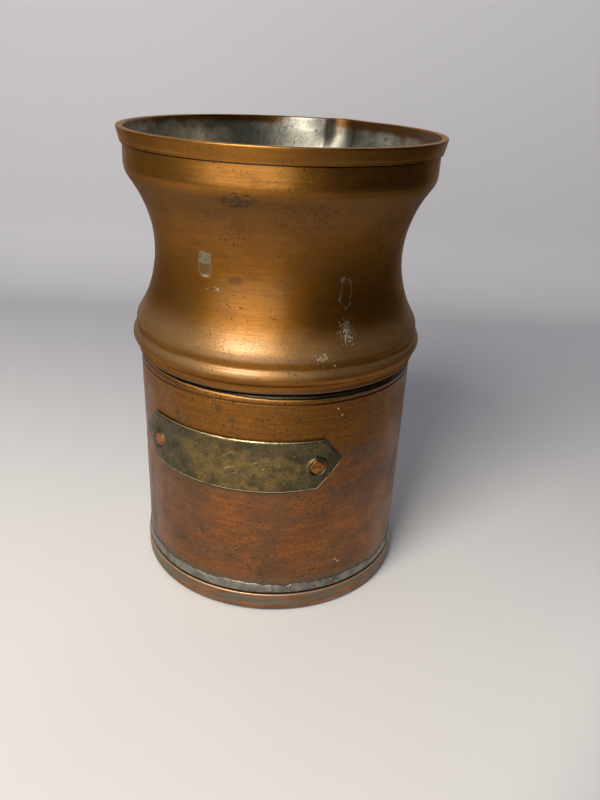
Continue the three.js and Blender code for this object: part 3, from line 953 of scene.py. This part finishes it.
neck_outline = softened(in_steps([
    (SKIRT_RADIUS - 0.1, skirt_foot),
    (SKIRT_RADIUS + 0.12, skirt_foot + 0.35),
    (SKIRT_RADIUS - 0.05, skirt_foot + 0.75),
    (SKIRT_RADIUS, skirt_foot + 1.4),
    *arc(*BEAD_CENTRE, BEAD_ARC, -64, 55, 0.4),
    (SKIRT_RADIUS + 0.35, BEAD_CENTRE[1] + 2.7),
    *arc(*LOWER_SHOULDER, LOWER_SHOULDER_ARC, 0, LOWER_TURN),
    *arc(*WAIST_CENTRE, WAIST_ARC, 180 + LOWER_TURN, 180 - UPPER_TURN, 1.0)[1:-1],
    *arc(*UPPER_SHOULDER, UPPER_SHOULDER_ARC, -UPPER_TURN, 0),
    (COLLAR_RADIUS, band_foot),
    (mouth_radius, mouth_top - EDGE_COVER),
], 0.6))
print("neck outline:", len(neck_outline), "rings")

# %% [markdown]
# ## The pouring lip
# At the rear of the mouth the sheet and its hoop are pushed out together to a small lip, with a sharp crease
# on either side where the metal folded. Proportional editing could push it, but the neck and the hoop have to
# move by exactly the same amount, so one formula moves the points of both.

# %% Lip
LIP_ANGLE = math.radians(171.5)
LIP_REACH = 3.5
LIP_HALF_WIDTH = 7.0
LIP_SQUARENESS = 2.6
LIP_FOOT = 136
CREASE_DEPTH = 0.35
CREASE_OFFSET = 6.2
CREASE_HALF_WIDTH = 1.3


def push_lip_out(piece):
    """Pushes the pouring lip out of the mouth, with a crease on either side."""
    for vertex in piece.data.vertices:
        x, y, z = vertex.co
        radius = math.hypot(x, y)
        away = (math.atan2(x, -y) - LIP_ANGLE + math.pi) % (2 * math.pi) - math.pi
        along = away * COLLAR_RADIUS
        climb = share(z / MM, LIP_FOOT, band_foot)
        rise = climb * climb * (3 - 2 * climb)
        push = LIP_REACH * math.exp(-abs(along / LIP_HALF_WIDTH) ** LIP_SQUARENESS)
        crease = sum(math.exp(-((along - side) / CREASE_HALF_WIDTH) ** 2)
                     for side in (-CREASE_OFFSET, CREASE_OFFSET))
        shift = (push - CREASE_DEPTH * crease) * rise * MM
        vertex.co.x += x / radius * shift
        vertex.co.y += y / radius * shift
    piece.data.update()


# %% Neck sheet
TIN_WORN_ABOVE = 147.6
neck = draw_round("neck_sheet", neck_outline, [
    golden_copper("golden_copper_neck", band_foot - 0.15, OVER_ALL, neck_marks),
    tin_lining("tin_lining_neck", TIN_WORN_ABOVE)])
push_lip_out(neck)
make_sheet(neck, 24, 0.5, 0.6)

# %% [markdown]
# ## The hoop round the mouth
# A strip of copper is bent round the mouth and soldered on. Its lower edge stands off the neck and throws
# a thin dark line, and its top was rubbed over the sheet's edge, so the two look like one thick edge. The
# outline closes on itself, so this ring needs no Solidify.

# %% Mouth hoop
HOOP_SEAT = 0.05
HOOP_FOOT_SHEET = 0.65
HOOP_RISE = 4.0
HOOP_BELLY = 0.8
EDGE_ROUND = 0.34
hoop_out = radius_of("rim_band") - SKIN
hoop_foot = COLLAR_RADIUS + HOOP_FOOT_SHEET
hoop_inside = mouth_radius - SHEET - 0.04
round_at = mouth_top - EDGE_ROUND - SKIN
hoop_outline = [
    (COLLAR_RADIUS + HOOP_SEAT, band_foot + 0.35),
    (COLLAR_RADIUS + HOOP_SEAT + 0.2, band_foot + 0.03),
    (hoop_foot - 0.15, band_foot),
    (hoop_foot, band_foot + 0.14),
    (hoop_foot - 0.02, band_foot + 0.36),
    *[(hoop_foot + (hoop_out - hoop_foot) * t ** HOOP_BELLY, band_foot + 0.4 + HOOP_RISE * t)
      for t in [i / 8 for i in range(1, 8)]],
    *arc(hoop_out - EDGE_ROUND, round_at, EDGE_ROUND, 0, 88, 0.1),
    *arc(hoop_inside + EDGE_ROUND, round_at, EDGE_ROUND, 95, 180, 0.1),
    (hoop_inside + 0.06, mouth_top - 0.7),
    (mouth_radius - 0.5, mouth_top - 0.8),
    (mouth_radius + HOOP_SEAT, mouth_top - 1.2),
]
hoop = draw_round("mouth_hoop", [*hoop_outline, hoop_outline[0]],
                  [golden_copper("golden_copper_hoop", band_foot - 0.1, mouth_top - 0.3)])
push_lip_out(hoop)
report_piece(hoop)

# %% [markdown]
# ## The can
# The can is sheet rolled to a cylinder, a little wider at the top, with its upper edge turned in to a round
# shoulder and a collar that goes up inside the neck. A line scribed under the shoulder marks where to
# turn the sheet in. Like the neck, it is tinned inside.

# %% Can
SHOULDER_RISE = 2.4
SHOULDER_TURN_IN = 1.4
SCRIBE_HALF_WIDTH = 0.3
SCRIBE_DEPTH = 0.25
CAN_START = 1.25
collar_inside_neck = can_radius - SHOULDER_TURN_IN
scribe = CAN_TOP - SCRIBE_BELOW
can_outline = [
    *in_steps([(can_radius_at(CAN_START), CAN_START), (can_radius_at(scribe - 1), scribe - 1)]),
    (can_radius_at(scribe - 0.6) + 0.04, scribe - 0.6),
    (can_radius_at(scribe), scribe - SCRIBE_HALF_WIDTH),
    (can_radius - SCRIBE_DEPTH, scribe),
    (can_radius - 0.03, scribe + SCRIBE_HALF_WIDTH),
    *[(collar_inside_neck + SHOULDER_TURN_IN * math.cos(turn), CAN_TOP + SHOULDER_RISE * math.sin(turn))
      for turn in [math.radians(9 * i) for i in range(1, 11)]],
    *in_steps([(collar_inside_neck, CAN_TOP + SHOULDER_RISE + 0.5),
               (collar_inside_neck, top_of("can_wall"))]),
]
can = draw_round("can_sheet", can_outline, [red_copper("red_copper_can"), tin_lining("tin_lining_can")])
make_sheet(can, 22, 0.4, 0.7)

# %% [markdown]
# ## The base pan and its solder
# The bottom is a shallow pan whose turned-up edge grips the can from outside, and its floor is tinned. Solder
# was wiped round the top of that edge and feathers out up the can in a band with a ragged top. The band
# is drawn as a thin closed ring, and a vertex group lets Displace pull only its upper edge up and down.

# %% Base pan
PAN_SHEET = 0.7
PAN_ROUND = 2.2
PAN_EDGE_ROUND = 0.28
BASE_HOLLOW = 0.4
PAN_FLOOR_MIDDLE = 0.55
pan_radius = radius_of("base_pan") - SKIN
pan = draw_round("pan_sheet", [
    *[(radius, BASE_HOLLOW) for radius in (4, 20, 36)],
    (40, 0.12),
    *arc(CAN_FOOT_RADIUS + PAN_SHEET - PAN_ROUND, PAN_ROUND, PAN_ROUND, -90, 0, 0.3),
    *in_steps([(CAN_FOOT_RADIUS + PAN_SHEET + 0.02, PAN_ROUND + 0.5), (pan_radius, pan_top - 0.35)], 0.6),
    *arc(pan_radius - PAN_EDGE_ROUND, pan_top - PAN_EDGE_ROUND, PAN_EDGE_ROUND, 20, 90, 0.1),
    (pan_radius - 0.5, pan_top - 0.02),
    (pan_radius - PAN_SHEET, pan_top - 0.2),
    (CAN_FOOT_RADIUS + 0.05, CAN_START + 0.4),
    (CAN_FOOT_RADIUS - 0.6, CAN_START),
    (36, PAN_SHEET),
    (20, PAN_SHEET + 0.2),
    (4, PAN_SHEET + 0.2),
], [pan_copper("rubbed_copper_pan"), tin_lining("tin_lining_pan")], capped=True)
for face in pan.data.polygons:
    inside_can = math.hypot(face.center.x, face.center.y) < (CAN_FOOT_RADIUS - SHEET) * MM
    face.material_index = int(inside_can and face.center.z > PAN_FLOOR_MIDDLE * MM)
report_piece(pan)

# %% Solder above the pan
SMEAR_RAGGED = 2.6
SMEAR_LUMPS = 0.16
SMEAR_POINTS = 480
SMEAR_SIDE = [(-0.2, 0), (0.1, 0), (0.22, 0.35), (0.46, 0.75), (0.44, 1.5), (0.4, 2.2), (0.36, 2.8),
              (0.32, 3.3)]
SMEAR_CREST = [(0.26, -0.6), (0.12, -0.45), (-0.2, -0.45)]
smear_outline = [(CAN_FOOT_RADIUS + out, smear_foot + up) for out, up in SMEAR_SIDE]
smear_outline += [(CAN_FOOT_RADIUS + out, smear_top + up) for out, up in SMEAR_CREST]
smear = draw_round("solder_smear", [*smear_outline, smear_outline[0]], [soft_solder("solder_at_base")],
                   SMEAR_POINTS)
upper_edge = smear.vertex_groups.new(name="upper_edge")
for vertex in smear.data.vertices:
    climb = share(vertex.co.z / MM, smear_foot + 1, smear_top)
    upper_edge.add([vertex.index], climb ** 1.5, "REPLACE")
dent(smear, 4.5, SMEAR_RAGGED, 0.55, 5, direction="Z", vertex_group="upper_edge")
dent(smear, 1.8, SMEAR_LUMPS, 0.6)
report_piece(smear)

# %% [markdown]
# The solder in the neck joint lies deep under the skirt and is painted nearly black as its shade. On the left
# some of it was squeezed out in lumps, so there a second vertex group lets Displace push the ring's outer
# edge out.

# %% Solder in the neck joint
JOINT_LUMPS = 1.3
JOINT_POINTS = 400
SQUEEZED_FROM, SQUEEZED_TO = 18, 32
joint_foot = foot_of("neck_solder")
joint_top = top_of("neck_solder")
skirt_inside = SKIRT_RADIUS - SHEET
joint_outline = [
    (collar_inside_neck - 0.1, joint_foot),
    (skirt_inside - 0.6, joint_foot),
    (skirt_inside - 0.25, joint_foot + 0.25),
    (skirt_inside - 0.05, joint_foot + 0.7),
    (skirt_inside - 0.05, joint_top),
    (collar_inside_neck - 0.1, joint_top),
]
joint = draw_round("joint_solder", [*joint_outline, joint_outline[0]], [shaded_joint_filling("shaded_solder_in_joint")],
                   JOINT_POINTS)
squeezed = joint.vertex_groups.new(name="squeezed")
for vertex in joint.data.vertices:
    x, y, z = [c / MM for c in vertex.co]
    outer_foot = math.hypot(x, y) > skirt_inside - 0.7 and z < joint_foot + 0.4
    squeezed.add([vertex.index], share(-x, SQUEEZED_FROM, SQUEEZED_TO) * outer_foot, "REPLACE")
dent(joint, 1.6, JOINT_LUMPS, 0.45, vertex_group="squeezed")
report_piece(joint)

# %% [markdown]
# ## The seam at the back
# A rolled can has to be closed somewhere. This one is brazed in a line down the back, and the braze stands a
# little proud. A narrow grid is stood upright behind the can, its edges are waved by Displace, and Solidify
# gives it body.

# %% Side seam
SEAM_PROUD = 0.36
SEAM_NARROWED = 0.8
SEAM_SHEET = 0.6
SEAM_EDGE = 0.12
seam_low, seam_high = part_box("side_seam")
seam_size = seam_high - seam_low
seam = flat_grid("seam_braze", seam_size.x * SEAM_NARROWED, seam_size.z, 6, 160, [filed_braze])
dent(seam, 4, 0.5, 0.5, 3, direction="X")
seam_lean = math.atan((can_radius - CAN_FOOT_RADIUS) / (CAN_TOP - can_foot))
seam_middle = (seam_low.z + seam_high.z) / 2
set_down(seam, (-math.pi / 2 - seam_lean, 0, 0),
         (0, (can_radius_at(seam_middle / MM) + SEAM_PROUD) * MM, seam_middle))
work(seam, "SOLIDIFY", thickness=SEAM_SHEET * MM, offset=-1)
work(seam, "BEVEL", width=SEAM_EDGE * MM, segments=2, limit_method="ANGLE", angle_limit=math.radians(50))
dent(seam, 1.6, 0.08, 0.9)
bpy.ops.object.shade_smooth()
report_piece(seam)

# %% [markdown]
# ## The brass strip
# A strip of brass about a millimetre thick is cut to a point at both ends, bent round the can and held by two
# rivets. It was cut by eye: its upper edge is the longer one, its points are above the middle, and its lower
# edge sags. Riveting has thrown up a low ring of brass round each head, and wear has left the edges bright,
# with a painted highlight along them as well.
# It is made flat from a fine grid, because that is where it is easy to cut: four bisects take the corners
# off. Then a vertex group raises the rings, Solidify and Bevel give thickness and an edge of its own
# material, and last of all Simple Deform bends the strip.

# %% Brass strip, flat
STRIP_SHEET = 1.0
STRIP_LENGTH = 76.2
STRIP_UPPER = 63
STRIP_LOWER = 59
STRIP_HEIGHT = 17.4
STRIP_TIP_RISE = 1.4
STRIP_TO_LEFT = 0.9
STRIP_SAG = 0.9
STRIP_FACE = 47.2
STRIP_BEVEL = 0.22
RIVET_SPACING = 56.4
RIVET_BELOW = 0.3
RIVET_RADIUS = 2.45
RING_RADIUS = 2.9
RING_HALF_WIDTH = 0.42
RING_HEIGHT = 0.65
WORN_HIGHLIT_WIDTH = 0.3
EDGE_WIDTH = 0.75
EDGE_DROP = 0.45
LOWER_EDGE_DROP = 0.12

strip = flat_grid("brass_strip", STRIP_LENGTH * MM, STRIP_HEIGHT * MM, 320, 74,
                  [tarnished_brass("tarnished_brass"), worn_highlit_edge])
bpy.ops.object.mode_set(mode="EDIT")
borders = [(Vector((0, upper * STRIP_HEIGHT / 2 * MM, 0)), Vector((0, upper, 0))) for upper in (1, -1)]
for side in (-1, 1):
    for upper, length in ((1, STRIP_UPPER), (-1, STRIP_LOWER)):
        run = (STRIP_LENGTH - length) / 2
        fall = STRIP_HEIGHT / 2 - upper * STRIP_TIP_RISE
        corner = Vector((side * STRIP_LENGTH / 2 * MM, STRIP_TIP_RISE * MM, 0))
        outwards = Vector((side * fall, upper * run, 0)).normalized()
        borders.append((corner, outwards))
        bpy.ops.mesh.select_all(action="SELECT")
        bpy.ops.mesh.bisect(plane_co=corner, plane_no=outwards, clear_outer=True)
bpy.ops.object.mode_set(mode="OBJECT")


def from_border(point):
    """How far a point of the flat strip lies inside its outline, in millimetres."""
    return min((corner - point).dot(outwards) for corner, outwards in borders) / MM


# Faces along the border take the worn edge, which carries a painted highlight.
for face in strip.data.polygons:
    if from_border(face.center) < WORN_HIGHLIT_WIDTH:
        face.material_index = 1
rings = strip.vertex_groups.new(name="rings")
for vertex in strip.data.vertices:
    drop = EDGE_DROP if vertex.co.y > 0 else LOWER_EDGE_DROP
    vertex.co.z -= drop * max(1 - from_border(vertex.co) / EDGE_WIDTH, 0) ** 2 * MM
    vertex.co.x -= STRIP_TO_LEFT * MM
    gap = math.hypot(abs(vertex.co.x) / MM - RIVET_SPACING / 2, vertex.co.y / MM + RIVET_BELOW)
    rings.add([vertex.index], math.exp(-((gap - RING_RADIUS) / RING_HALF_WIDTH) ** 2), "REPLACE")
    low = max(-vertex.co.y / MM / (STRIP_HEIGHT / 2), 0)
    bow = max(1 - (vertex.co.x / MM / (STRIP_LOWER / 2)) ** 2, -1)
    vertex.co.y -= STRIP_SAG * (bow - 0.6) * low ** 2 * MM
work(strip, "DISPLACE", strength=RING_HEIGHT * MM, mid_level=0, vertex_group="rings")
dent(strip, 7, 0.12, 0.8)
report_piece(strip)

# %% Brass strip, bent
work(strip, "SOLIDIFY", thickness=STRIP_SHEET * MM, offset=-1, material_offset_rim=1)
work(strip, "BEVEL", width=STRIP_BEVEL * MM, segments=2, limit_method="ANGLE",
     angle_limit=math.radians(50), material=1)
set_down(strip, (math.pi / 2, 0, 0))
strip_long = strip.dimensions.x / MM
work(strip, "SIMPLE_DEFORM", deform_method="BEND", deform_axis="Z", angle=strip_long / STRIP_FACE)
set_down(strip, (0, 0, 0), (0, -STRIP_FACE * MM, strip_middle * MM))
bpy.ops.object.shade_smooth_by_angle(angle=math.radians(35))
report_piece(strip)

# %% [markdown]
# ## The rivets
# Each rivet goes through the strip and the can. Its head was beaten nearly flush with the ring of brass. That
# left it flat and a little angular, and its tail is spread to a small disc inside. One outline drawn round
# its own axis makes the whole rivet. It is laid on its side and turned to its place, and only then dented,
# so that the two heads come out different, as hammered heads do.

# %% Rivets
RIVET_FACE = 47.66
RIVET_POINTS = 40
TAIL_RADIUS = 3.7
TAIL_FOOT = 44.2
TAIL_SHEET = 0.7
rivet_angle = RIVET_SPACING / 2 / STRIP_FACE


def set_rivet(name, angle, finish):
    """A hammered rivet, set at an angle round the can."""
    tail_top = TAIL_FOOT + TAIL_SHEET
    rivet = draw_round(name, [
        (0.5, TAIL_FOOT),
        (TAIL_RADIUS - 0.3, TAIL_FOOT),
        (TAIL_RADIUS, TAIL_FOOT + 0.25),
        (TAIL_RADIUS, tail_top),
        (RIVET_RADIUS, tail_top),
        *in_steps([(RIVET_RADIUS, tail_top + 0.1), (RIVET_RADIUS, RIVET_FACE - 0.3)], 0.5),
        (RIVET_RADIUS - 0.05, RIVET_FACE - 0.12),
        (RIVET_RADIUS - 0.25, RIVET_FACE),
        (RIVET_RADIUS * 0.6, RIVET_FACE + 0.03),
        (RIVET_RADIUS * 0.2, RIVET_FACE + 0.04),
    ], [finish], RIVET_POINTS, capped=True)
    set_down(rivet, (math.pi / 2, 0, angle), (0, 0, (strip_middle - RIVET_BELOW) * MM))
    dent(rivet, 1.9, 0.55, 0.7)
    report_piece(rivet)
    return rivet


rivet_left = set_rivet("rivet_left", -rivet_angle, hammered_copper[0])
rivet_right = set_rivet("rivet_right", rivet_angle, hammered_copper[1])

# %% [markdown]
# ## Putting the pieces in place
# Each new piece rides on the pot's one body and hides the node that it replaces. The table also lists the
# record's finish for each piece, which nothing here uses.

# %% Dress the frame
dressing = [
    (pan, "base_pan", "pan_copper"),
    (smear, "base_solder", "solder"),
    (can, "can_wall", "can_copper"),
    (seam, "side_seam", "braze"),
    (joint, "neck_solder", "solder"),
    (neck, "neck_shell", "neck_copper"),
    (hoop, "rim_band", "rim_copper"),
    (strip, "front_plate", "plate_brass"),
    (rivet_left, "plate_rivet_left", "rivet_copper"),
    (rivet_right, "plate_rivet_right", "rivet_copper"),
]
for piece, node, slot in dressing:
    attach(piece, "root")
    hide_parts(node)
print(len(dressing), "pieces dressed")
